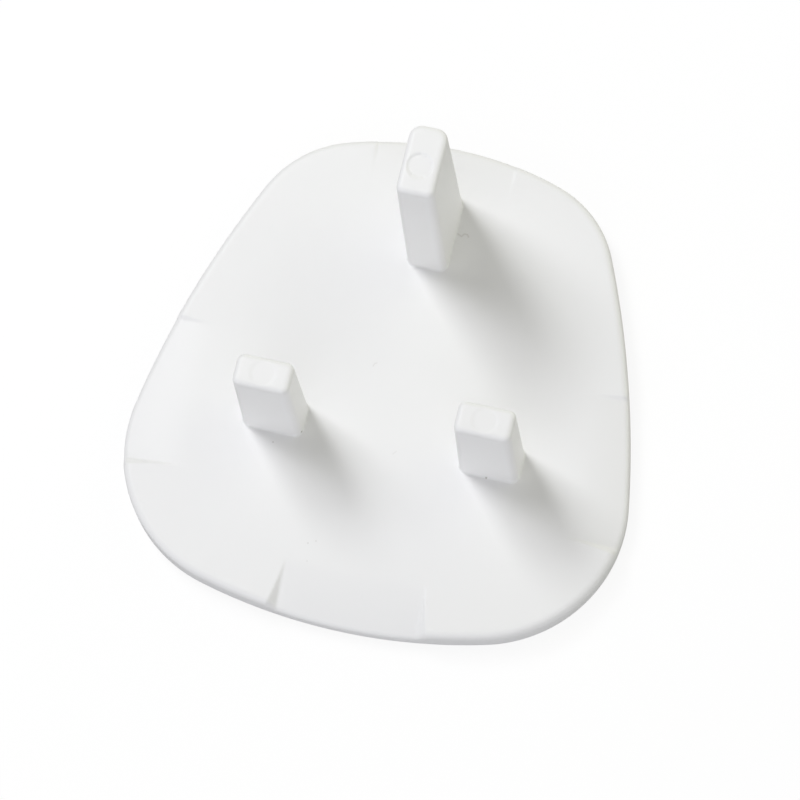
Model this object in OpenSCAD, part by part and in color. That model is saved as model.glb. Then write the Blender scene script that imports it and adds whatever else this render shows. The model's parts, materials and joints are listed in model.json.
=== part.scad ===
// Safety cover for a three-pin mains socket: one plastic moulding, a flat plate with three plain pins.
// It lies on its flat front with the pins up. +Y points to the earth pin, and the origin is on the
// front face at the middle of the plate's width and height. All sizes are in millimetres.

/* [Plate outline] */
// Overall width of the plate, across its widest line
plate_w = 51.1; // [49:0.1:60]
// Overall height of the plate, from its lower edge to its upper edge
plate_h = 51.1; // [50:0.1:60]
// Radius of the two lower corners
lower_corner_r = 14.6; // [12:0.1:15.2]
// Height of the widest line, the centres of the lower corners, above the lower edge
widest_up = 16; // [15.6:0.1:18]
// Radius of the two upper corners
upper_corner_r = 11.4; // [9:0.1:12.4]
// Distance of the upper corners' centres below the upper edge
upper_corner_down = 12.6; // [12.5:0.1:15]
// Distance between the centres of the two upper corners
upper_corner_gap = 15.1; // [10:0.1:19]
// Radius of the two long, slightly bowed sides
side_r = 102; // [70:1:180]

/* [Plate section] */
// Thickness of the plate
plate_t = 3; // [2.6:0.1:4.5]
// Radius of the rim's edge on the front
front_edge_r = 0.5; // [0.2:0.05:0.8]
// Radius of the rim's edge on the pin side
back_edge_r = 0.9; // [0.4:0.05:1.4]

/* [Finger bevels] */
// Length of the lower and the upper bevel's floor along the rim
end_bevel_l = 14.3; // [8:0.1:16]
// Length of each side bevel's floor along the rim
side_bevel_l = 15.1; // [8:0.1:17]
// Radius of the curve along which each bevel's floor steepens toward the rim
bevel_floor_r = 26; // [18:1:60]
// Slope of the two ends of each bevel
bevel_end_slope = 45; // [25:1:60]
// Distance of the lower bevel's inner line above the lower edge
lower_bevel_in = 5.6; // [3:0.1:6.4]
// Slope at which the lower bevel's floor leaves its inner line
lower_bevel_slope = 6; // [1:0.5:10]
// Distance of the upper bevel's inner line below the upper edge
upper_bevel_in = 3.6; // [2:0.1:5]
// Slope at which the upper bevel's floor leaves its inner line
upper_bevel_slope = 1.5; // [0.5:0.5:10]
// Distance of each side bevel's inner line inside the plate's widest line
side_bevel_in = 5.8; // [3.6:0.1:6.4]
// Slope at which the side bevels' floors leave their inner lines
side_bevel_slope = 3; // [1:0.5:10]
// Height of the side bevels' middle above the lower edge, before the turn
side_bevel_up = 20.6; // [17:0.1:24]
// Turn of all four bevels against the pins, anticlockwise seen from the pin side
bevel_turn = 1.7; // [-3:0.1:3]

/* [Pin places] */
// Distance between the centres of the two short pins
pin_pitch = 22.23; // [20:0.01:24]
// Height of the short pins' centres above the lower edge of the plate
short_pin_up = 19.8; // [18:0.1:23]
// Distance of the earth pin's centre above the short pins' centres
earth_pitch = 22.23; // [20:0.01:24]

/* [Short pins] */
// Length of the short pins above the plate
short_l = 14.1; // [8:0.1:20]
// Width of the short pins at the root
short_root_w = 6.15; // [5.6:0.05:7]
// Depth of the short pins at the root
short_root_d = 3.65; // [3.2:0.05:4.6]
// Width of the short pins at the tip
short_tip_w = 5.75; // [4.8:0.05:6.6]
// Depth of the short pins at the tip
short_tip_d = 3.3; // [2.8:0.05:4.2]

/* [Earth pin] */
// Length of the earth pin above the plate
earth_l = 21.6; // [15:0.1:24]
// Width of the earth pin at the root
earth_root_w = 4.15; // [3.7:0.05:5]
// Depth of the earth pin at the root
earth_root_d = 8.25; // [7.4:0.05:8.8]
// Width of the earth pin at the tip
earth_tip_w = 3.85; // [3.3:0.05:4.6]
// Depth of the earth pin at the tip
earth_tip_d = 7.2; // [6.4:0.05:8.4]

/* [Pin edges] */
// Radius of the pins' long edges
pin_edge_r = 0.8; // [0.5:0.05:1.1]
// Radius of the earth pin's two long edges on the side away from the short pins
earth_far_edge_r = 1.3; // [0.6:0.05:1.5]
// Radius of the edge round each pin's tip
tip_edge_r = 0.6; // [0.2:0.05:0.8]
// Radius of the fillet where a pin meets the plate
root_fillet_r = 0.2; // [0.1:0.05:0.8]
// Diameter of the shallow ejector mark on each tip
ejector_d = 2.8; // [1.5:0.1:4]
// Depth of the ejector marks
ejector_depth = 0.08; // [0.04:0.01:0.2]

/* [Hidden] */
$fn = 96;

moulding = [0.94, 0.94, 0.93];

// Upper and lower edge of the plate, and the places that are measured from them
y_low = -plate_h / 2;
y_top = plate_h / 2;
y_short = y_low + short_pin_up;
y_earth = y_short + earth_pitch;

// Corner circles on the right half, and the arcs that touch them from outside
lower_c = [plate_w / 2 - lower_corner_r, y_low + widest_up];
upper_c = [upper_corner_gap / 2, y_top - upper_corner_down];
bottom_r = spanning_r(lower_c[0], widest_up, lower_corner_r);
top_r = spanning_r(upper_c[0], upper_corner_down, upper_corner_r);
bottom_c = [0, y_low + bottom_r];
top_c = [0, y_top - top_r];
side_c = side_centre(lower_c, side_r - lower_corner_r, upper_c, side_r - upper_corner_r);

// Directions in which each arc of the right half runs over into the next
a_bottom = heading(bottom_c, lower_c);
a_low = heading(side_c, lower_c);
a_high = heading(side_c, upper_c);
a_top = heading(top_c, upper_c);

// The rim as touching arcs, each [centre, radius, first angle, last angle], right half upwards
right_arcs = [
    [lower_c, lower_corner_r, a_bottom, a_low],
    [side_c, side_r, a_low, a_high],
    [upper_c, upper_corner_r, a_high, a_top],
];
rim_arcs = concat(
    [[bottom_c, bottom_r, -180 - a_bottom, a_bottom]],
    right_arcs,
    [[top_c, top_r, a_top, 180 - a_top]],
    [for (i = [len(right_arcs) - 1:-1:0]) mirrored(right_arcs[i])]
);

// How far a chord may stray from the rim's true arc
chord_error = 0.01;
// How deep the pins' roots are buried in the plate
buried = 1;
// Steps of a quarter turn on rounded edges and fillets
quarter = 6;
// Reach of a cutting solid past what it cuts
past = 6;

// Radius of the arc about x = 0 that touches an edge and a corner circle at x, up from that edge
function spanning_r(x, up, r) = (x * x + up * up - r * r) / (2 * (up - r));

// Direction from one point to another, in degrees
function heading(from, to) = atan2(to[1] - from[1], to[0] - from[0]);

// The point at distance r1 from p and r2 from q that lies to their left, looking from p to q
function side_centre(p, r1, q, r2) =
    let (
        d = norm(q - p),
        along = (r1 * r1 - r2 * r2 + d * d) / (2 * d),
        across = sqrt(r1 * r1 - along * along),
        u = (q - p) / d
    )
    p + along * u + across * [-u[1], u[0]];

// An arc of the right half carried over to the left half
function mirrored(arc) = [[-arc[0][0], arc[0][1]], arc[1], 180 - arc[3], 180 - arc[2]];

// The rim's outline as a ring of points, a given distance inside it and at height z
function rim_ring(inside, z) = [
    for (arc = rim_arcs)
        let (
            sweep = arc[3] - arc[2],
            steps = ceil(sweep / (2 * acos(1 - chord_error / arc[1])))
        )
        for (i = [0:steps - 1])
            let (a = arc[2] + sweep * i / steps)
            [
                arc[0][0] + (arc[1] - inside) * cos(a),
                arc[0][1] + (arc[1] - inside) * sin(a),
                z,
            ]
];

// A rectangle with round corners as a ring of points at height z. The +Y corners have radius far_r
function ring(w, d, r, far_r, z) = [
    for (k = [0:3], i = [0:quarter])
        let (a = 90 * (k + i / quarter), q = 90 * k + 45, c = k < 2 ? far_r : r)
        [
            sign(cos(q)) * (w / 2 - c) + c * cos(a),
            sign(sin(q)) * (d / 2 - c) + c * sin(a),
            z,
        ]
];

// Closed solid through a stack of rings that have the same number of points
module loft(rings) {
    n = len(rings[0]);
    m = len(rings);
    polyhedron(
        points = [for (r = rings) each r],
        faces = concat(
            [[for (i = [0:n - 1]) i]],
            [
                for (k = [0:m - 2], i = [0:n - 1])
                    let (j = (i + 1) % n, a = k * n, b = a + n)
                    each [[a + i, b + i, b + j], [a + i, b + j, a + j]]
            ],
            [[for (i = [n - 1:-1:0]) (m - 1) * n + i]]
        ),
        convexity = 4
    );
}

// Plain plate before the finger bevels: flat front, round edge, wall, round edge, flat pin side
module plate() {
    front = [
        for (i = [0:quarter])
            let (a = 90 * i / quarter)
            rim_ring(front_edge_r * (1 - sin(a)), front_edge_r * (1 - cos(a)))
    ];
    back = [
        for (i = [0:quarter])
            let (a = 90 * i / quarter)
            rim_ring(back_edge_r * (1 - cos(a)), plate_t - back_edge_r * (1 - sin(a)))
    ];
    loft(concat(front, back));
}

// Cutting solid of a finger bevel of length l. Its floor starts at the origin, falls toward -Y at the
// given slope, and steepens along an arc that reaches past the rim
module finger_bevel(l, slope, reach) {
    chord_slope = slope + asin(reach / (2 * bevel_floor_r));
    flare = past / tan(bevel_end_slope);
    difference() {
        rotate([90 + chord_slope, 0, 0])
            linear_extrude(2 * past)
                polygon([
                    [-l / 2, 0],
                    [l / 2, 0],
                    [l / 2 + flare, past],
                    [-l / 2 - flare, past],
                ]);
        translate([0, bevel_floor_r * sin(slope), -bevel_floor_r * cos(slope)])
            rotate([0, 90, 0])
                cylinder(r = bevel_floor_r, h = l + 2 * flare + 2, center = true);
    }
}

// The four finger bevels, one in the middle of each side of the rim
module finger_bevels() {
    side_x = plate_w / 2 - side_bevel_in;
    rotate([0, 0, bevel_turn]) {
        translate([0, y_low + lower_bevel_in, plate_t])
            finger_bevel(end_bevel_l, lower_bevel_slope, lower_bevel_in + 1);
        translate([0, y_top - upper_bevel_in, plate_t])
            rotate([0, 0, 180]) finger_bevel(end_bevel_l, upper_bevel_slope, upper_bevel_in + 1);
        for (s = [-1, 1])
            translate([s * side_x, y_low + side_bevel_up, plate_t])
                rotate([0, 0, 90 * s]) finger_bevel(side_bevel_l, side_bevel_slope, side_bevel_in + 1);
    }
}

// One drafted pin standing on z = 0: buried root, concave fillet, shaft and rounded tip
module pin(root_w, root_d, tip_w, tip_d, l, far_edge_r = pin_edge_r) {
    // Share of the full draft at height z
    function w_at(z) = root_w + (tip_w - root_w) * z / l;
    function d_at(z) = root_d + (tip_d - root_d) * z / l;
    first = 15;
    fillet = [
        for (i = [0:quarter - 1])
            let (
                a = first + (90 - first) * i / (quarter - 1),
                out = root_fillet_r * (1 - sin(a)),
                z = root_fillet_r * (1 - cos(a))
            )
            ring(w_at(z) + 2 * out, d_at(z) + 2 * out, pin_edge_r + out, far_edge_r + out, z)
    ];
    tip = [
        for (i = [0:quarter])
            let (
                a = 90 * i / quarter,
                inset = tip_edge_r * (1 - cos(a)),
                z = l - tip_edge_r * (1 - sin(a)),
                r = max(pin_edge_r - inset, 0.03),
                far_r = max(far_edge_r - inset, 0.03)
            )
            ring(w_at(z) - 2 * inset, d_at(z) - 2 * inset, r, far_r, z)
    ];
    out = root_fillet_r * (1 - sin(first));
    foot = ring(root_w + 2 * out, root_d + 2 * out, pin_edge_r + out, far_edge_r + out, -buried);
    loft(concat([foot], fillet, tip));
}

module short_pin() {
    pin(short_root_w, short_root_d, short_tip_w, short_tip_d, short_l);
}

module earth_pin() {
    pin(earth_root_w, earth_root_d, earth_tip_w, earth_tip_d, earth_l, earth_far_edge_r);
}

// Shallow round mark that an ejector leaves in the top of a pin of length l
module ejector_mark(l) {
    translate([0, 0, l - ejector_depth]) cylinder(d = ejector_d, h = 1);
}

// Puts its children on the plate at each short pin's place
module at_short_pins() {
    for (s = [-1, 1]) translate([s * pin_pitch / 2, y_short, plate_t]) children();
}

// Puts its children on the plate at the earth pin's place
module at_earth_pin() {
    translate([0, y_earth, plate_t]) children();
}

// The whole moulding
module cover() {
    color(moulding)
        difference() {
            union() {
                difference() {
                    plate();
                    finger_bevels();
                }
                at_short_pins() short_pin();
                at_earth_pin() earth_pin();
            }
            at_short_pins() ejector_mark(short_l);
            at_earth_pin() ejector_mark(earth_l);
        }
}

cover();
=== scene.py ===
"""Looks of a moulded three-pin socket cover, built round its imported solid, in metres.

The cover is one moulding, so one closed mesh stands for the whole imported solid: the plate with its
softly rounded rim and four finger bevels, the earth pin and the two short pins.
"""

import json
import logging
import math
from dataclasses import dataclass
from enum import Enum

import bpy
import numpy as np
from mathutils import Matrix, Vector


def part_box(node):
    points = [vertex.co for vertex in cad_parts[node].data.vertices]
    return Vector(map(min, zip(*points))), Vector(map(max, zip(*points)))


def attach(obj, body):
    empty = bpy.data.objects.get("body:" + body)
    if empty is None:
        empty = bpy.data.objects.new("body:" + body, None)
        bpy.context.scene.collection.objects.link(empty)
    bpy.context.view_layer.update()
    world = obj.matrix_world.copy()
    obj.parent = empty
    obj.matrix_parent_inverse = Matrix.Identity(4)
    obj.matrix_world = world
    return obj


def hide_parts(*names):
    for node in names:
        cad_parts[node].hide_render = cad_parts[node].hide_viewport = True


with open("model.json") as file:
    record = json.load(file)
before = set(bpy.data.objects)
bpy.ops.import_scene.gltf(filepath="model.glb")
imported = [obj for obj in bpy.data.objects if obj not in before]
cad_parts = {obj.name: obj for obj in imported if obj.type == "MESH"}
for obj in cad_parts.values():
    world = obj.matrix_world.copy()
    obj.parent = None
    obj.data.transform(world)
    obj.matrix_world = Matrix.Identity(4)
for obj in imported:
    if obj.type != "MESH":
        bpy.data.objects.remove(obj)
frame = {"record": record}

log = logging.getLogger("socket_cover")

MM = 0.001
NODE = "cover"
BODY = "root"
IMAGE_PX = 800
SENSOR_MM = 36.0
HAIR = 0.001 * MM
TINY = 1e-30


class Side(Enum):
    """A side of the plate, as the direction in which its finger bevel falls."""

    LOWER = (0.0, -1.0)
    UPPER = (0.0, 1.0)
    LEFT = (-1.0, 0.0)
    RIGHT = (1.0, 0.0)


def mount(name: str) -> Vector:
    """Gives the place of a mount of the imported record.

    Args:
        name: The mount's name.

    Returns:
        Its position in metres.
    """
    for entry in frame["record"]["mounts"]:
        if entry["name"] == name:
            return Vector(entry["pos_m"])
    raise KeyError(name)


@dataclass(frozen=True)
class Arc:
    """One circular stretch of the rim, run through anticlockwise, with its angles in radians."""

    centre: tuple[float, float]
    radius: float
    first: float
    last: float

    def length(self) -> float:
        """Gives the arc's length."""
        return self.radius * (self.last - self.first)

    def mirrored(self) -> "Arc":
        """Gives the same arc on the other side of x = 0."""
        return Arc((-self.centre[0], self.centre[1]), self.radius, math.pi - self.last, math.pi - self.first)


@dataclass(frozen=True)
class RimOutline:
    """The plate's outline as eight arcs that touch each other, the same on both sides of x = 0."""

    width: float
    height: float
    lower_corner_r: float = 14.6 * MM
    widest_up: float = 16.0 * MM
    upper_corner_r: float = 11.4 * MM
    upper_corner_down: float = 12.6 * MM
    upper_corner_gap: float = 15.1 * MM
    side_r: float = 102.0 * MM

    @staticmethod
    def spanning_radius(across: float, up: float, corner_r: float) -> float:
        """Gives the radius of the arc about x = 0 that touches an edge and a corner circle.

        Args:
            across: The corner centre's distance from x = 0.
            up: The corner centre's distance from the edge.
            corner_r: The corner's radius.

        Returns:
            The arc's radius.
        """
        return (across**2 + up**2 - corner_r**2) / (2.0 * (up - corner_r))

    def arcs(self) -> list[Arc]:
        """Works out the outline's arcs.

        Returns:
            The arcs in order, anticlockwise from the lower edge.
        """
        low = Vector((self.width / 2 - self.lower_corner_r, -self.height / 2 + self.widest_up))
        high = Vector((self.upper_corner_gap / 2, self.height / 2 - self.upper_corner_down))
        bottom_r = self.spanning_radius(low.x, self.widest_up, self.lower_corner_r)
        top_r = self.spanning_radius(high.x, self.upper_corner_down, self.upper_corner_r)
        bottom = Vector((0.0, -self.height / 2 + bottom_r))
        top = Vector((0.0, self.height / 2 - top_r))
        to_low, to_high = self.side_r - self.lower_corner_r, self.side_r - self.upper_corner_r
        gap = (high - low).length
        along = (to_low**2 - to_high**2 + gap**2) / (2.0 * gap)
        u = (high - low) / gap
        side = low + along * u + math.sqrt(to_low**2 - along**2) * Vector((-u.y, u.x))

        def heading(a: Vector, b: Vector) -> float:
            """Gives the direction from a to b."""
            return math.atan2(b.y - a.y, b.x - a.x)

        turns = [heading(bottom, low), heading(side, low), heading(side, high), heading(top, high)]
        right = [
            Arc(tuple(low), self.lower_corner_r, turns[0], turns[1]),
            Arc(tuple(side), self.side_r, turns[1], turns[2]),
            Arc(tuple(high), self.upper_corner_r, turns[2], turns[3]),
        ]
        lower = Arc(tuple(bottom), bottom_r, -math.pi - turns[0], turns[0])
        upper = Arc(tuple(top), top_r, turns[3], math.pi - turns[3])
        return [lower, *right, upper, *(arc.mirrored() for arc in reversed(right))]

    def samples(self, count: int) -> tuple[np.ndarray, np.ndarray]:
        """Places points evenly along the rim.

        Args:
            count: How many points to place.

        Returns:
            The points and the outward directions there, each as count rows of x and y.
        """
        arcs = self.arcs()
        ends = np.cumsum([0.0] + [arc.length() for arc in arcs])
        points, outward = np.zeros((count, 2)), np.zeros((count, 2))
        for i, s in enumerate(np.arange(count) * ends[-1] / count):
            k = int(np.searchsorted(ends, s, side="right")) - 1
            a = arcs[k].first + (s - ends[k]) / arcs[k].radius
            outward[i] = math.cos(a), math.sin(a)
            points[i] = np.array(arcs[k].centre) + arcs[k].radius * outward[i]
        return points, outward


class RingMesh:
    """A closed surface built from rings of equally many points, from its lowest to its highest."""

    def __init__(self, name: str) -> None:
        """Starts an empty surface.

        Args:
            name: The mesh's name.
        """
        self.name = name
        self.rings: list[np.ndarray] = []
        self.values: dict[str, list[np.ndarray]] = {}

    def add(self, ring: np.ndarray, **values: np.ndarray | float) -> None:
        """Adds one ring.

        Args:
            ring: Its points, one row of x, y and z each.
            **values: Named values to keep on its points, one for all or one for each.
        """
        self.rings.append(ring)
        for key, value in values.items():
            self.values.setdefault(key, []).append(np.broadcast_to(value, (len(ring),) + np.shape(value)[1:]))

    def build(self) -> bpy.types.Object:
        """Makes the mesh, closed at both ends by a fan.

        Returns:
            The object, linked to the scene.
        """
        n, m = len(self.rings[0]), len(self.rings)
        points = np.vstack([*self.rings, self.rings[0].mean(0), self.rings[-1].mean(0)])
        i = np.arange(n)
        j = (i + 1) % n
        faces: list[list[int]] = []
        for k in range(m - 1):
            a, b = k * n, (k + 1) * n
            faces += np.column_stack([a + i, a + j, b + j, b + i]).tolist()
        faces += np.column_stack([j, i, np.full(n, n * m)]).tolist()
        faces += np.column_stack([(m - 1) * n + i, (m - 1) * n + j, np.full(n, n * m + 1)]).tolist()
        mesh = bpy.data.meshes.new(self.name)
        mesh.from_pydata(points.tolist(), [], faces)
        for key, parts in self.values.items():
            data = np.concatenate(parts)
            ends = np.stack([parts[0].mean(0), parts[-1].mean(0)])
            data = np.concatenate([data, ends])
            kind = "FLOAT" if data.ndim == 1 else "FLOAT_VECTOR"
            layer = mesh.attributes.new(key, kind, "POINT")
            layer.data.foreach_set("value" if data.ndim == 1 else "vector", data.ravel())
        piece = bpy.data.objects.new(self.name, mesh)
        bpy.context.collection.objects.link(piece)
        return piece


class NodeSheet:
    """A few short calls for laying out any node tree."""

    def __init__(self, tree: bpy.types.NodeTree) -> None:
        """Takes the tree to fill.

        Args:
            tree: A node tree.
        """
        self.tree = tree

    def node(self, kind: str, **settings: object) -> bpy.types.Node:
        """Adds a node.

        Args:
            kind: The node's type name.
            **settings: Its plain settings.

        Returns:
            The node.
        """
        made = self.tree.nodes.new(kind)
        for key, value in settings.items():
            setattr(made, key, value)
        return made

    def feed(self, socket: bpy.types.NodeSocket, source: object) -> None:
        """Gives a socket its value.

        Args:
            socket: The socket.
            source: Another socket's output, or a plain value.
        """
        if isinstance(source, bpy.types.NodeSocket):
            self.tree.links.new(source, socket)
        else:
            socket.default_value = source

    def math(self, operation: str, *sources: object, clamp: bool = False) -> bpy.types.NodeSocket:
        """Adds a math node and gives its result.

        Args:
            operation: The operation's name.
            *sources: Its inputs in order, sockets or numbers.
            clamp: Whether the result is held between 0 and 1.

        Returns:
            The result's socket.
        """
        made = self.node("ShaderNodeMath", operation=operation, use_clamp=clamp)
        for socket, source in zip(made.inputs, sources):
            self.feed(socket, source)
        return made.outputs[0]

    def vector(self, operation: str, *sources: object) -> bpy.types.NodeSocket:
        """Adds a vector math node and gives its result.

        Args:
            operation: The operation's name.
            *sources: Its inputs in order, sockets or triples.

        Returns:
            The result's socket.
        """
        made = self.node("ShaderNodeVectorMath", operation=operation)
        if operation == "SCALE":
            self.feed(made.inputs[0], sources[0])
            self.feed(made.inputs["Scale"], sources[1])
        else:
            for socket, source in zip(made.inputs, sources):
                self.feed(socket, source)
        return made.outputs["Value" if operation in ("DOT_PRODUCT", "LENGTH", "DISTANCE") else "Vector"]


def new_tree(name: str, kind: str, inputs: list[tuple], outputs: list[tuple]) -> NodeSheet:
    """Makes an empty node group with its named sockets.

    Args:
        name: The group's name.
        kind: Its tree type.
        inputs: Each input's name, socket type and default value, if it has one.
        outputs: Each output's name and socket type.

    Returns:
        The tree, ready to fill.
    """
    tree = bpy.data.node_groups.new(name, kind)
    for label, socket_type, *default in inputs:
        made = tree.interface.new_socket(name=label, in_out="INPUT", socket_type=socket_type)
        if default:
            made.default_value = default[0]
    for label, socket_type in outputs:
        tree.interface.new_socket(name=label, in_out="OUTPUT", socket_type=socket_type)
    return NodeSheet(tree)


def run_nodes(
    piece: bpy.types.Object, tree: bpy.types.NodeTree, values: dict[str, object]
) -> bpy.types.Object:
    """Runs a geometry tree on a piece and keeps its result as a plain mesh.

    Args:
        piece: The object to change.
        tree: The geometry tree.
        values: The tree's inputs by name.

    Returns:
        The piece, with its new mesh and no modifier.
    """
    modifier = piece.modifiers.new(tree.name, "NODES")
    modifier.node_group = tree
    sockets = [item for item in tree.interface.items_tree if item.item_type == "SOCKET"]
    keys = {socket.name: socket.identifier for socket in sockets if socket.in_out == "INPUT"}
    for name, value in values.items():
        modifier[keys[name]] = value
    return settle(piece)


def settle(piece: bpy.types.Object) -> bpy.types.Object:
    """Turns a piece's modifiers into a plain mesh.

    Args:
        piece: The object, which keeps its name.

    Returns:
        The same object.
    """
    bpy.context.view_layer.update()
    shown = piece.evaluated_get(bpy.context.evaluated_depsgraph_get())
    mesh = bpy.data.meshes.new_from_object(shown)
    piece.modifiers.clear()
    piece.data = mesh
    return piece


@dataclass
class FingerBevels:
    """The four shallow bevels in the rim's pin side, which a geometry tree lowers into the plate."""

    plate_width: float
    plate_height: float
    end_floor: float = 14.3 * MM
    side_floor: float = 15.1 * MM
    floor_r: float = 26.0 * MM
    end_slope: float = math.radians(45.0)
    lower_in: float = 5.6 * MM
    lower_slope: float = math.radians(6.0)
    upper_in: float = 3.6 * MM
    upper_slope: float = math.radians(1.5)
    side_in: float = 5.8 * MM
    side_slope: float = math.radians(3.0)
    side_up: float = 20.6 * MM
    turn: float = math.radians(1.7)
    inner_blend: float = 0.1 * MM
    end_blend: float = 0.2 * MM
    # How fast the rim's rounding gets sharper with a bevel's depth, per metre.
    edge_tightening: float = 420.0

    def places(self) -> dict[Side, tuple[Vector, float]]:
        """Lists where the bevels are.

        Returns:
            The middle of each bevel's inner line, before the turn, and its floor's first slope.
        """
        low, side = -self.plate_height / 2, self.plate_width / 2 - self.side_in
        return {
            Side.LOWER: (Vector((0.0, low + self.lower_in, 0.0)), self.lower_slope),
            Side.UPPER: (Vector((0.0, -low - self.upper_in, 0.0)), self.upper_slope),
            Side.LEFT: (Vector((-side, low + self.side_up, 0.0)), self.side_slope),
            Side.RIGHT: (Vector((side, low + self.side_up, 0.0)), self.side_slope),
        }

    def depth_group(self) -> bpy.types.NodeTree:
        """Makes the group that gives one bevel's depth at any point.

        Returns:
            The group.
        """
        inputs = [
            ("Where", "NodeSocketVector"),
            ("Middle", "NodeSocketVector"),
            ("Downhill", "NodeSocketVector"),
            ("Floor Length", "NodeSocketFloat"),
            ("First Slope", "NodeSocketFloat"),
            ("Floor Radius", "NodeSocketFloat"),
            ("End Fall", "NodeSocketFloat"),
            ("Inner Blend", "NodeSocketFloat"),
            ("End Blend", "NodeSocketFloat"),
        ]
        s = new_tree("BevelDepth", "GeometryNodeTree", inputs, [("Depth", "NodeSocketFloat")])
        given = s.node("NodeGroupInput").outputs
        here = s.vector("SUBTRACT", given["Where"], given["Middle"])
        down = s.vector("DOT_PRODUCT", here, given["Downhill"])
        across = s.vector("CROSS_PRODUCT", given["Downhill"], (0.0, 0.0, 1.0))
        along = s.math("ABSOLUTE", s.vector("DOT_PRODUCT", here, across))
        past_floor = s.math("SUBTRACT", along, s.math("MULTIPLY", given["Floor Length"], 0.5))
        past_floor = s.math("SMOOTH_MAX", past_floor, 0.0, given["End Blend"])
        radius, slope = given["Floor Radius"], given["First Slope"]
        run = s.math("MULTIPLY_ADD", radius, s.math("SINE", slope), s.math("MAXIMUM", down, 0.0))
        squares = [s.math("MULTIPLY", part, part) for part in (radius, run)]
        height = s.math("SQRT", s.math("SUBTRACT", *squares))
        curved = s.math("SUBTRACT", s.math("MULTIPLY", radius, s.math("COSINE", slope)), height)
        floor = s.math("MULTIPLY_ADD", s.math("MINIMUM", down, 0.0), s.math("TANGENT", slope), curved)
        depth = s.math("SUBTRACT", floor, s.math("MULTIPLY", past_floor, given["End Fall"]))
        depth = s.math("SMOOTH_MAX", depth, 0.0, given["Inner Blend"])
        s.feed(s.node("NodeGroupOutput").inputs["Depth"], depth)
        return s.tree

    def tree(self) -> bpy.types.NodeTree:
        """Makes the tree that lowers the plate's pin side by all four bevels.

        Returns:
            The tree.
        """
        inputs = [
            ("Plate", "NodeSocketGeometry"),
            ("End Floor Length", "NodeSocketFloat"),
            ("Side Floor Length", "NodeSocketFloat"),
            ("Floor Radius", "NodeSocketFloat"),
            ("End Slope", "NodeSocketFloat"),
            ("Inner Blend", "NodeSocketFloat"),
            ("End Blend", "NodeSocketFloat"),
            ("Edge Tightening", "NodeSocketFloat"),
            ("Material", "NodeSocketMaterial"),
        ]
        s = new_tree("FingerBevels", "GeometryNodeTree", inputs, [("Plate", "NodeSocketGeometry")])
        given = s.node("NodeGroupInput").outputs
        end_fall = s.math("TANGENT", given["End Slope"])
        group = self.depth_group()
        turned = Matrix.Rotation(self.turn, 3, "Z")

        def depth_at(where: bpy.types.NodeSocket) -> bpy.types.NodeSocket:
            """Gives the deepest of the four bevels at a point.

            Args:
                where: The point's socket.

            Returns:
                The depth's socket.
            """
            depth: object = 0.0
            for side, (middle, slope) in self.places().items():
                one = s.node("GeometryNodeGroup", node_tree=group, label=side.name.lower())
                s.feed(one.inputs["Where"], where)
                one.inputs["Middle"].default_value = turned @ middle
                one.inputs["Downhill"].default_value = turned @ Vector((*side.value, 0.0))
                one.inputs["First Slope"].default_value = slope
                length = "Side Floor Length" if side in (Side.LEFT, Side.RIGHT) else "End Floor Length"
                s.feed(one.inputs["Floor Length"], given[length])
                for key in ("Floor Radius", "Inner Blend", "End Blend"):
                    s.feed(one.inputs[key], given[key])
                s.feed(one.inputs["End Fall"], end_fall)
                depth = s.math("MAXIMUM", one.outputs["Depth"], depth)
            return depth

        def kept(name: str, kind: str) -> bpy.types.NodeSocket:
            """Reads a value that the plate's points carry.

            Args:
                name: The value's name.
                kind: Its data type.

            Returns:
                The value's socket.
            """
            made = s.node("GeometryNodeInputNamedAttribute", data_type=kind)
            made.inputs["Name"].default_value = name
            return made.outputs["Attribute"]

        here = s.node("GeometryNodeInputPosition").outputs[0]
        tighten = s.math("MULTIPLY", depth_at(here), given["Edge Tightening"])
        outward = s.vector("SCALE", kept("to_rim", "FLOAT_VECTOR"), tighten)
        sunk = s.math("MULTIPLY", depth_at(s.vector("ADD", here, outward)), kept("upper", "FLOAT"))
        rise = s.math("MULTIPLY", tighten, kept("drop", "FLOAT"))
        lift = s.node("ShaderNodeCombineXYZ")
        s.feed(lift.inputs["Z"], s.math("SUBTRACT", rise, sunk))
        moved = s.node("GeometryNodeSetPosition")
        s.feed(moved.inputs["Geometry"], given["Plate"])
        s.feed(moved.inputs["Offset"], s.vector("ADD", outward, lift.outputs[0]))
        finish(s, moved.outputs[0], given["Material"], "Plate")
        return s.tree

    def cut_into(self, plate: bpy.types.Object, material: bpy.types.Material) -> bpy.types.Object:
        """Lowers the bevels into a plate.

        Args:
            plate: The plate's object.
            material: The material to leave on it.

        Returns:
            The same object.
        """
        values = {
            "End Floor Length": self.end_floor,
            "Side Floor Length": self.side_floor,
            "Floor Radius": self.floor_r,
            "End Slope": self.end_slope,
            "Inner Blend": self.inner_blend,
            "End Blend": self.end_blend,
            "Edge Tightening": self.edge_tightening,
            "Material": material,
        }
        return run_nodes(plate, self.tree(), values)


def finish(
    sheet: NodeSheet, geometry: bpy.types.NodeSocket, material: bpy.types.NodeSocket, output: str
) -> None:
    """Ends a geometry tree with real geometry in one material.

    Args:
        sheet: The tree.
        geometry: What the tree made.
        material: The tree's material input.
        output: The name of the tree's output.
    """
    real = sheet.node("GeometryNodeRealizeInstances")
    sheet.feed(real.inputs[0], geometry)
    dressed = sheet.node("GeometryNodeSetMaterial")
    sheet.feed(dressed.inputs["Geometry"], real.outputs[0])
    sheet.feed(dressed.inputs["Material"], material)
    sheet.feed(sheet.node("NodeGroupOutput").inputs[output], dressed.outputs[0])


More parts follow.
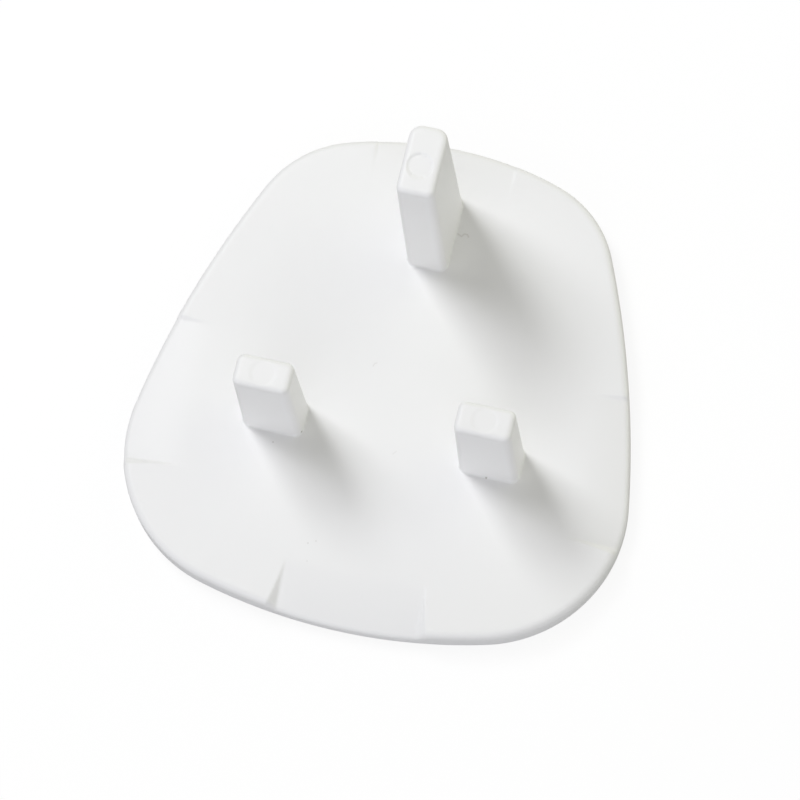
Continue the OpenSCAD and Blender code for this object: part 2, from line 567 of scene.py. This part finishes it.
@dataclass
class Plate:
    """The plate: flat front, rounded rim and a flat pin side."""

    outline: RimOutline
    thickness: float
    front_edge_r: float = 0.5 * MM
    back_edge_r: float = 0.75 * MM
    around: int = 1200
    edge_steps: int = 8
    fine_reach: float = 6.6 * MM
    fine_step: float = 0.17 * MM
    inner_shares: tuple[float, ...] = (0.04, 0.15, 0.3, 0.5, 0.7, 0.86)

    def ring(self, inside: float, z: float) -> np.ndarray:
        """Gives the ring of points at a distance inside the rim.

        Args:
            inside: The distance.
            z: The ring's height.

        Returns:
            The points.
        """
        return np.column_stack([self.rim - inside * self.out, np.full(self.around, z)])

    def build(self) -> bpy.types.Object:
        """Makes the plate, whose points carry what the bevels' tree needs.

        Returns:
            The plate's object.
        """
        self.rim, self.out = self.outline.samples(self.around)
        out3 = np.column_stack([self.out, np.zeros(self.around)])
        surface = RingMesh("plate")
        still = {"upper": 0.0, "drop": 0.0, "to_rim": 0.0 * out3}
        top, r, f = self.thickness, self.back_edge_r, self.front_edge_r
        inner = self.ring(self.fine_reach, 0.0)
        for share in self.inner_shares:
            surface.add(inner * share, **still)
        for inside in (self.fine_reach, self.fine_reach / 2, self.fine_reach / 4):
            surface.add(self.ring(inside, 0.0), **still)
        for a in np.linspace(0.0, math.pi / 2, self.edge_steps + 1):
            surface.add(self.ring(f * (1 - math.sin(a)), f * (1 - math.cos(a))), **still)
        for a in np.linspace(0.0, math.pi / 2, self.edge_steps + 1):
            inside, drop = r * (1 - math.cos(a)), r * (1 - math.sin(a))
            surface.add(self.ring(inside, top - drop), upper=1.0, drop=drop, to_rim=inside * out3)
        lowered = {"upper": 1.0, "drop": 0.0, "to_rim": 0.0 * out3}
        steps = int((self.fine_reach - r) / self.fine_step)
        for inside in np.linspace(r, self.fine_reach, steps + 1)[1:]:
            surface.add(self.ring(inside, top), **lowered)
        for share in reversed(self.inner_shares):
            surface.add(inner * share + (0.0, 0.0, top), **lowered)
        return surface.build()


@dataclass
class Pin:
    """A drafted pin with round edges, a concave root fillet and a shallow ejector mark in its tip."""

    name: str
    root: tuple[float, float]
    tip: tuple[float, float]
    length: float
    mark: tuple[float, float] = (0.0, 0.0)
    mark_r: float = 1.25 * MM
    mark_depth: float = 0.04 * MM
    mark_step: float = 0.16 * MM
    edge_r: float = 0.8 * MM
    far_edge_r: float = 0.8 * MM
    tip_r: float = 0.6 * MM
    least_r: float = 0.04 * MM
    fillet_r: float = 0.2 * MM
    fillet_start: float = math.radians(8.0)
    past_fillet: float = 1.3
    past_tip_r: float = 1.15
    steps: int = 8
    fine: float = 0.14 * MM
    cap_rings: int = 16
    cap_middle: float = 0.03
    sunk: float = 0.03 * MM
    buried: float = 0.6 * MM

    def size_at(self, z: float) -> tuple[float, float]:
        """Gives the drafted width and depth at a height."""
        t = z / self.length
        return tuple(a + (b - a) * t for a, b in zip(self.root, self.tip))

    def ring(self, z: float, grow: float) -> np.ndarray:
        """Gives one ring round the pin.

        Args:
            z: Its height above the plate.
            grow: How far it stands out of the drafted faces, or inside them if negative.

        Returns:
            The ring's points.
        """
        w, d = (size + 2 * grow for size in self.size_at(z))
        turns = []
        for k, (sx, sy) in enumerate([(1, 1), (-1, 1), (-1, -1), (1, -1)]):
            r = max((self.far_edge_r if sy > 0 else self.edge_r) + grow, self.least_r)
            a = math.pi / 2 * k + np.linspace(0.0, math.pi / 2, self.steps + 1)
            x, y = sx * (w / 2 - r) + r * np.cos(a), sy * (d / 2 - r) + r * np.sin(a)
            turns.append(np.column_stack([x, y]))
        parts = []
        for k, turn in enumerate(turns):
            start, end = turn[-1], turns[(k + 1) % 4][0]
            full = self.root[k % 2] - self.edge_r - self.far_edge_r
            along = np.linspace(0.0, 1.0, max(int(full / self.fine), 2) + 1)[1:-1, None]
            parts += [turn, start + along * (end - start)]
        flat = np.vstack(parts)
        return np.column_stack([flat, np.full(len(flat), z)])

    def build(self, place: Vector) -> bpy.types.Object:
        """Makes the pin.

        Args:
            place: The middle of its root, on the plate.

        Returns:
            The pin's object, with its place in its mesh.
        """
        surface = RingMesh(self.name)
        past_fillet = self.fillet_r * self.past_fillet
        for depth in (self.buried, self.sunk):
            surface.add(self.ring(0.0, past_fillet) - (0.0, 0.0, depth))
        for a in np.linspace(self.fillet_start, math.pi / 2, self.steps):
            surface.add(self.ring(self.fillet_r * (1 - math.cos(a)), self.fillet_r * (1 - math.sin(a))))
        for z in (past_fillet, self.length - self.tip_r * self.past_tip_r):
            surface.add(self.ring(z, 0.0))
        for a in np.linspace(0.0, math.pi / 2, self.steps + 1):
            inside, drop = self.tip_r * (1 - math.cos(a)), self.tip_r * (1 - math.sin(a))
            surface.add(self.ring(self.length - drop, -inside))
        edge = surface.rings[-1]
        for share in np.linspace(1.0, self.cap_middle, self.cap_rings)[1:]:
            surface.add(edge * (share, share, 1.0))
        for ring in surface.rings[-self.cap_rings - self.steps:]:
            ring[:, 2] -= self.mark_at(ring)
        for ring in surface.rings:
            ring += tuple(place)
        return surface.build()

    def mark_at(self, points: np.ndarray) -> np.ndarray:
        """Gives how deep the ejector mark is at each point: a flat disc with a soft step round it.

        Args:
            points: The points, one row of x, y and z each.

        Returns:
            The depths.
        """
        away = np.hypot(points[:, 0] - self.mark[0], points[:, 1] - self.mark[1])
        step = np.clip((self.mark_r - away) / self.mark_step + 0.5, 0.0, 1.0)
        high = points[:, 2] > self.length - 0.5 * self.tip_r
        return np.where(high, self.mark_depth * step * step * (3 - 2 * step), 0.0)


@dataclass
class PinPair:
    """The two short pins: one pin, set out along X by a geometry tree."""

    pin: Pin
    pitch: float

    def tree(self) -> bpy.types.NodeTree:
        """Makes the tree that repeats a pin along a line.

        Returns:
            The tree.
        """
        inputs = [
            ("Pin", "NodeSocketGeometry"),
            ("Count", "NodeSocketInt"),
            ("Pitch", "NodeSocketFloat"),
            ("Material", "NodeSocketMaterial"),
        ]
        s = new_tree("PinsInLine", "GeometryNodeTree", inputs, [("Pins", "NodeSocketGeometry")])
        given = s.node("NodeGroupInput").outputs
        step, start = s.node("ShaderNodeCombineXYZ"), s.node("ShaderNodeCombineXYZ")
        s.feed(step.inputs["X"], given["Pitch"])
        gaps = s.math("SUBTRACT", given["Count"], 1.0)
        s.feed(start.inputs["X"], s.math("MULTIPLY", s.math("MULTIPLY", gaps, given["Pitch"]), -0.5))
        line = s.node("GeometryNodeMeshLine", mode="OFFSET")
        s.feed(line.inputs["Count"], given["Count"])
        s.feed(line.inputs["Start Location"], start.outputs[0])
        s.feed(line.inputs["Offset"], step.outputs[0])
        repeat = s.node("GeometryNodeInstanceOnPoints")
        s.feed(repeat.inputs["Points"], line.outputs[0])
        s.feed(repeat.inputs["Instance"], given["Pin"])
        finish(s, repeat.outputs[0], given["Material"], "Pins")
        return s.tree

    def build(self, middle: Vector, material: bpy.types.Material) -> bpy.types.Object:
        """Makes both pins.

        Args:
            middle: The point half-way between their roots.
            material: The material to leave on them.

        Returns:
            One object with both pins.
        """
        one = self.pin.build(middle)
        return run_nodes(one, self.tree(), {"Count": 2, "Pitch": self.pitch, "Material": material})


@dataclass(frozen=True)
class Mark:
    """A tiny dark mark: a line through a few points in millimetres, or a dot where there is only one."""

    points: tuple[tuple[float, float, float], ...]
    half_width: float
    strength: float

    def strokes(self) -> list[tuple[Vector, Vector]]:
        """Gives the mark's straight strokes.

        Returns:
            Each stroke's two ends in metres, which for a dot lie a hair apart.
        """
        ends = [Vector(point) * MM for point in self.points]
        if len(ends) == 1:
            ends.append(ends[0] + Vector((HAIR, 0.0, 0.0)))
        return list(zip(ends, ends[1:]))


@dataclass(frozen=True)
class WhiteMoulding:
    """The finish of the moulding: satin white plastic with a faint mottle and a few tiny dark marks."""

    colour: tuple[float, float, float] = (0.86, 0.86, 0.86)
    dull_colour: tuple[float, float, float] = (0.845, 0.845, 0.845)
    roughness: float = 0.5
    roughness_spread: float = 0.08
    ior: float = 1.5
    mottle_size: float = 6.0 * MM
    mottle_detail: float = 3.0
    grain_size: float = 0.12 * MM
    grain_detail: float = 2.0
    wave_height: float = 0.012 * MM
    grain_height: float = 0.0015 * MM
    mark_colour: tuple[float, float, float] = (0.16, 0.12, 0.08)
    marks: tuple[Mark, ...] = (
        Mark(
            ((2.33, 16.56, 3), (2.74, 16.38, 3), (2.96, 16.7, 3), (3.28, 16.7, 3), (3.44, 16.48, 3)),
            0.13,
            0.22,
        ),
        Mark(((-2.75, 1.2, 3), (-2.65, 1.5, 3), (-2.45, 1.6, 3)), 0.1, 0.14),
        Mark(((1.35, -7.25, 3), (1.6, -6.95, 3)), 0.1, 0.1),
        Mark(((-8.06, -7.05, 3.2),), 0.17, 1.0),
        Mark(((11.0, -7.68, 3.1),), 0.16, 0.9),
        Mark(((-10.65, -8.67, 3),), 0.09, 0.7),
        Mark(((-4.73, -18.03, 3),), 0.12, 0.28),
        Mark(((-4.0, -17.65, 3),), 0.12, 0.24),
        Mark(((-4.38, -19.84, 3),), 0.1, 0.2),
        Mark(((-23.9, -0.95, 2.5), (-23.5, -0.65, 2.8)), 0.14, 0.5),
    )
    darkest_share: float = 0.8

    @staticmethod
    def stroke_group() -> bpy.types.NodeTree:
        """Makes the group that masks one stroke: 1 on its line, 0 past its half width.

        Returns:
            The group.
        """
        inputs = [
            ("Where", "NodeSocketVector"),
            ("From", "NodeSocketVector"),
            ("To", "NodeSocketVector"),
            ("Half Width", "NodeSocketFloat"),
            ("Strength", "NodeSocketFloat"),
        ]
        s = new_tree("Stroke", "ShaderNodeTree", inputs, [("Mask", "NodeSocketFloat")])
        given = s.node("NodeGroupInput").outputs
        line = s.vector("SUBTRACT", given["To"], given["From"])
        here = s.vector("SUBTRACT", given["Where"], given["From"])
        dots = [s.vector("DOT_PRODUCT", part, line) for part in (here, line)]
        along = s.math("DIVIDE", *dots, clamp=True)
        away = s.vector("DISTANCE", here, s.vector("SCALE", line, along))
        inside = s.math("SUBTRACT", 1.0, s.math("DIVIDE", away, given["Half Width"]), clamp=True)
        s.feed(s.node("NodeGroupOutput").inputs["Mask"], s.math("MULTIPLY", inside, given["Strength"]))
        return s.tree

    def marked(self, s: NodeSheet, place: bpy.types.NodeSocket) -> bpy.types.NodeSocket:
        """Gives the mask of all the tiny marks.

        Args:
            s: The material's node sheet.
            place: The place on the object.

        Returns:
            The mask's socket.
        """
        group = self.stroke_group()
        mask: object = 0.0
        for mark in self.marks:
            for first, last in mark.strokes():
                one = s.node("ShaderNodeGroup", node_tree=group)
                s.feed(one.inputs["Where"], place)
                one.inputs["From"].default_value = first
                one.inputs["To"].default_value = last
                one.inputs["Half Width"].default_value = mark.half_width * MM
                one.inputs["Strength"].default_value = mark.strength
                mask = s.math("MAXIMUM", one.outputs["Mask"], mask)
        return s.math("MINIMUM", mask, self.darkest_share)

    def material(self) -> bpy.types.Material:
        """Makes the material.

        Returns:
            The material.
        """
        made = bpy.data.materials.new("white_moulding")
        made.use_nodes = True
        made.node_tree.nodes.clear()
        s = NodeSheet(made.node_tree)
        place = s.node("ShaderNodeTexCoord").outputs["Object"]

        def cloud(size: float, detail: float) -> bpy.types.NodeSocket:
            """Adds soft noise.

            Args:
                size: The size of its patches.
                detail: How many finer layers it has.

            Returns:
                The noise's socket.
            """
            noise = s.node("ShaderNodeTexNoise")
            s.feed(noise.inputs["Vector"], place)
            noise.inputs["Scale"].default_value = 1.0 / size
            noise.inputs["Detail"].default_value = detail
            return noise.outputs["Fac"]

        mottle = cloud(self.mottle_size, self.mottle_detail)
        grain = cloud(self.grain_size, self.grain_detail)
        colour = s.node("ShaderNodeMix", data_type="RGBA")
        s.feed(colour.inputs["Factor"], mottle)
        colour.inputs["A"].default_value = (*self.dull_colour, 1.0)
        colour.inputs["B"].default_value = (*self.colour, 1.0)
        dirty = s.node("ShaderNodeMix", data_type="RGBA")
        s.feed(dirty.inputs["Factor"], self.marked(s, place))
        s.feed(dirty.inputs["A"], colour.outputs["Result"])
        dirty.inputs["B"].default_value = (*self.mark_colour, 1.0)
        smoothest = self.roughness - self.roughness_spread / 2
        rough = s.math("MULTIPLY_ADD", grain, self.roughness_spread, smoothest)
        waves = s.node("ShaderNodeBump")
        waves.inputs["Distance"].default_value = self.wave_height
        s.feed(waves.inputs["Height"], mottle)
        fine = s.node("ShaderNodeBump")
        fine.inputs["Distance"].default_value = self.grain_height
        s.feed(fine.inputs["Height"], grain)
        s.feed(fine.inputs["Normal"], waves.outputs[0])
        shader = s.node("ShaderNodeBsdfPrincipled")
        s.feed(shader.inputs["Base Color"], dirty.outputs["Result"])
        s.feed(shader.inputs["Roughness"], rough)
        s.feed(shader.inputs["Normal"], fine.outputs[0])
        shader.inputs["IOR"].default_value = self.ior
        shader.inputs["Subsurface Weight"].default_value = 0.0
        s.feed(s.node("ShaderNodeOutputMaterial").inputs["Surface"], shader.outputs[0])
        return made


@dataclass
class SocketCover:
    """The whole moulding, with the widths and depths of its pins at their roots and tips."""

    finish: WhiteMoulding
    earth_root: tuple[float, float] = (4.15 * MM, 8.25 * MM)
    earth_tip: tuple[float, float] = (3.85 * MM, 7.2 * MM)
    earth_mark: tuple[float, float] = (-0.1 * MM, -0.6 * MM)
    earth_mark_depth: float = 0.12 * MM
    earth_far_edge_r: float = 1.3 * MM
    short_root: tuple[float, float] = (6.15 * MM, 3.65 * MM)
    short_tip: tuple[float, float] = (5.75 * MM, 3.3 * MM)
    # A union leaves a few points closer together than this, which would leave the mesh open.
    weld_gap: float = 0.001 * MM

    def build(self) -> bpy.types.Object:
        """Makes the moulding as one closed mesh and puts it on its body.

        Returns:
            The moulding's object.
        """
        low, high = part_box(NODE)
        live, neutral, earth = mount("live_pin"), mount("neutral_pin"), mount("earth_pin")
        thickness = mount("pin_side").z
        material = self.finish.material()
        outline = RimOutline(high[0] - low[0], high[1] - low[1])
        plate = Plate(outline, thickness).build()
        FingerBevels(outline.width, outline.height).cut_into(plate, material)
        log.info("plate: %d faces", len(plate.data.polygons))
        tall = Pin(
            "earth_pin",
            self.earth_root,
            self.earth_tip,
            earth.z - thickness,
            mark=self.earth_mark,
            mark_depth=self.earth_mark_depth,
            far_edge_r=self.earth_far_edge_r,
        )
        short = Pin("short_pins", self.short_root, self.short_tip, live.z - thickness)
        single = tall.build(Vector((earth.x, earth.y, thickness)))
        middle = (live + neutral) / 2
        row = PinPair(short, (neutral - live).length)
        pair = row.build(Vector((middle.x, middle.y, thickness)), material)
        moulding = self.fuse(plate, [single, pair])
        moulding.name = moulding.data.name = "cover_moulding"
        moulding.data.materials.clear()
        moulding.data.materials.append(material)
        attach(moulding, BODY)
        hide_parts(NODE)
        log.info("moulding: %d faces", len(moulding.data.polygons))
        return moulding

    def fuse(self, plate: bpy.types.Object, pins: list[bpy.types.Object]) -> bpy.types.Object:
        """Joins the pins to the plate as one closed surface.

        Args:
            plate: The plate.
            pins: The objects to join to it, which are used up.

        Returns:
            The plate's object, with the joined mesh.
        """
        for pin in pins:
            union = plate.modifiers.new(pin.name, "BOOLEAN")
            union.operation, union.solver, union.object = "UNION", "MANIFOLD", pin
            settle(plate)
            bpy.data.objects.remove(pin)
        weld = plate.modifiers.new("weld", "WELD")
        weld.merge_threshold = self.weld_gap
        settle(plate)
        for name in ("upper", "drop", "to_rim"):
            if layer := plate.data.attributes.get(name):
                plate.data.attributes.remove(layer)
        self.smooth(plate.data)
        return plate

    @staticmethod
    def smooth(mesh: bpy.types.Mesh) -> None:
        """Shades a mesh smoothly, with each point's normal led by its largest faces.

        Args:
            mesh: The mesh.
        """
        mesh.polygons.foreach_set("use_smooth", np.ones(len(mesh.polygons), bool))
        mesh.update()
        face_normals, areas = np.zeros(len(mesh.polygons) * 3), np.zeros(len(mesh.polygons))
        mesh.polygons.foreach_get("normal", face_normals)
        mesh.polygons.foreach_get("area", areas)
        corners, counts = np.zeros(len(mesh.loops), int), np.zeros(len(mesh.polygons), int)
        mesh.loops.foreach_get("vertex_index", corners)
        mesh.polygons.foreach_get("loop_total", counts)
        weighted = np.repeat(face_normals.reshape(-1, 3) * areas[:, None], counts, axis=0)
        normals = np.zeros((len(mesh.vertices), 3))
        np.add.at(normals, corners, weighted)
        normals /= np.linalg.norm(normals, axis=1, keepdims=True) + TINY
        mesh.normals_split_custom_set_from_vertices(normals.tolist())


@dataclass(frozen=True)
class Softbox:
    """A tall soft lamp that looks at the middle of the plate."""

    azimuth: float
    elevation: float
    width: float
    height: float
    light: float
    colour: tuple[float, float, float] = (1.0, 1.0, 1.0)
    distance: float = 0.6

    def towards(self) -> Vector:
        """Gives the direction from the plate to the lamp."""
        level, turn = math.cos(self.elevation), self.azimuth
        return Vector((level * math.cos(turn), level * math.sin(turn), math.sin(self.elevation)))

    def build(self, name: str, aim: Vector) -> bpy.types.Object:
        """Makes the lamp.

        Args:
            name: Its name.
            aim: The point that it looks at.

        Returns:
            The lamp's object.
        """
        lamp = bpy.data.lights.new(name, "AREA")
        lamp.shape = "ELLIPSE"
        lamp.size, lamp.size_y = self.width, self.height
        lamp.color = self.colour
        lamp.energy = self.light * math.pi**2 * self.distance**2
        made = bpy.data.objects.new(name, lamp)
        bpy.context.collection.objects.link(made)
        away = self.towards()
        made.location = aim + away * self.distance
        made.rotation_euler = away.to_track_quat("Z", "Y").to_euler()
        return made


@dataclass(frozen=True)
class SkyLobe:
    """A broad bright part of the surroundings, strongest in one direction."""

    towards: tuple[float, float, float]
    strength: float
    colour: tuple[float, float, float] = (1.0, 1.0, 1.0)
    spread: float = 4.0


@dataclass(frozen=True)
class Studio:
    """A white table in plain soft light, seen from the photograph's angle."""

    window: Softbox = Softbox(math.radians(153), math.radians(59), 0.14, 0.46, 0.396, (1.0, 1.0, 1.04))
    low_lamp: Softbox = Softbox(math.radians(137), math.radians(48), 0.12, 0.22, 0.246, (0.98, 1.0, 1.0))
    lobes: tuple[SkyLobe, ...] = (
        SkyLobe((-0.61, -0.61, 0.5), 0.4, (1.0, 1.0, 0.96)),
        SkyLobe((0.0, -1.0, 0.0), 0.72, (0.98, 1.0, 1.12)),
        SkyLobe((0.0, -0.87, 0.5), 0.82),
        SkyLobe((0.87, 0.0, 0.5), 0.44, (1.02, 1.0, 1.04)),
        SkyLobe((0.71, -0.71, 0.0), 0.24),
        SkyLobe((0.71, 0.71, 0.0), 1.5, (0.98, 1.0, 0.78)),
        SkyLobe((0.0, 1.0, 0.0), 0.48, (1.06, 1.0, 0.9)),
    )
    camera_at: tuple[float, float, float] = (66.61 * MM, -137.04 * MM, 500.18 * MM)
    looks_along: tuple[float, float, float] = (-0.12684, 0.26061, -0.95708)
    image_up: tuple[float, float, float] = (-0.2081, 0.93641, 0.28255)
    focal_px: float = 5200.0
    clip: tuple[float, float] = (0.01, 20.0)
    floor_size: float = 3.0
    # Faces in one plane would streak, so the table top lies just under the plate.
    floor_gap: float = 0.03 * MM
    floor_colour: float = 0.52
    floor_white: float = 1.165
    # The camera sees this much of the lit table top, and plain white for the rest.
    shadow_share: float = 0.25

    def build(self) -> None:
        """Makes the table, the light and the camera."""
        self.floor()
        for name, lamp in (("window", self.window), ("low_lamp", self.low_lamp)):
            lamp.build(name, Vector((0.0, 0.0, 0.0)))
        self.world()
        self.camera()
        bpy.context.scene.view_settings.view_transform = "Standard"

    def floor(self) -> None:
        """Makes the white table top, on which only a part of the shadow shows to the camera."""
        h, z = self.floor_size / 2, -self.floor_gap
        mesh = bpy.data.meshes.new("table_top")
        mesh.from_pydata([(-h, -h, z), (h, -h, z), (h, h, z), (-h, h, z)], [], [(0, 1, 2, 3)])
        made = bpy.data.objects.new("table_top", mesh)
        bpy.context.collection.objects.link(made)
        material = bpy.data.materials.new("table_white")
        material.use_nodes = True
        material.node_tree.nodes.clear()
        s = NodeSheet(material.node_tree)
        matte = s.node("ShaderNodeBsdfDiffuse")
        matte.inputs["Color"].default_value = (self.floor_colour,) * 3 + (1.0,)
        white = s.node("ShaderNodeEmission")
        white.inputs["Color"].default_value = (1.0, 1.0, 1.0, 1.0)
        seen = s.node("ShaderNodeLightPath").outputs["Is Camera Ray"]
        mix = s.node("ShaderNodeMixShader")
        s.feed(mix.inputs["Fac"], s.math("MULTIPLY", seen, 1.0 - self.shadow_share))
        s.feed(mix.inputs[1], matte.outputs[0])
        s.feed(mix.inputs[2], white.outputs[0])
        white.inputs["Strength"].default_value = self.floor_white
        s.feed(s.node("ShaderNodeOutputMaterial").inputs["Surface"], mix.outputs[0])
        mesh.materials.append(material)

    def world(self) -> None:
        """Makes the soft light of the sky's lobes, which looks plain white to the camera."""
        world = bpy.data.worlds.new("even_white")
        bpy.context.scene.world = world
        world.use_nodes = True
        world.node_tree.nodes.clear()
        s = NodeSheet(world.node_tree)
        direction = s.node("ShaderNodeTexCoord").outputs["Generated"]
        light: object = (0.0, 0.0, 0.0)
        for lobe in self.lobes:
            facing = s.vector("DOT_PRODUCT", direction, tuple(Vector(lobe.towards).normalized()))
            share = s.math("POWER", s.math("MAXIMUM", facing, 0.0), lobe.spread)
            tint = tuple(part * lobe.strength for part in lobe.colour)
            light = s.vector("ADD", s.vector("SCALE", tint, share), light)
        sky = s.node("ShaderNodeBackground")
        seen = s.node("ShaderNodeLightPath").outputs["Is Camera Ray"]
        white = s.node("ShaderNodeMix", data_type="VECTOR")
        s.feed(white.inputs["Factor"], seen)
        s.feed(white.inputs["A"], light)
        white.inputs["B"].default_value = (1.0, 1.0, 1.0)
        s.feed(sky.inputs["Color"], white.outputs["Result"])
        s.feed(s.node("ShaderNodeOutputWorld").inputs["Surface"], sky.outputs[0])

    def camera(self) -> None:
        """Makes the camera that matches the photograph."""
        lens = bpy.data.cameras.new("photo_camera")
        lens.sensor_width = SENSOR_MM
        lens.lens = self.focal_px / IMAGE_PX * SENSOR_MM
        lens.clip_start, lens.clip_end = self.clip
        made = bpy.data.objects.new("photo_camera", lens)
        bpy.context.collection.objects.link(made)
        back = -Vector(self.looks_along).normalized()
        right = Vector(self.image_up).cross(back).normalized()
        up = back.cross(right)
        turn = Matrix((right, up, back)).transposed().to_4x4()
        made.matrix_world = Matrix.Translation(Vector(self.camera_at)) @ turn
        bpy.context.scene.camera = made


def main() -> None:
    """Builds the moulding and the studio."""
    logging.basicConfig(level=logging.INFO, format="%(name)s %(message)s")
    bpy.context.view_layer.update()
    moulding = SocketCover(WhiteMoulding()).build()
    log.info("built %s on body %s", moulding.name, BODY)
    Studio().build()
    log.info("studio ready")


if __name__ == "__main__":
    main()
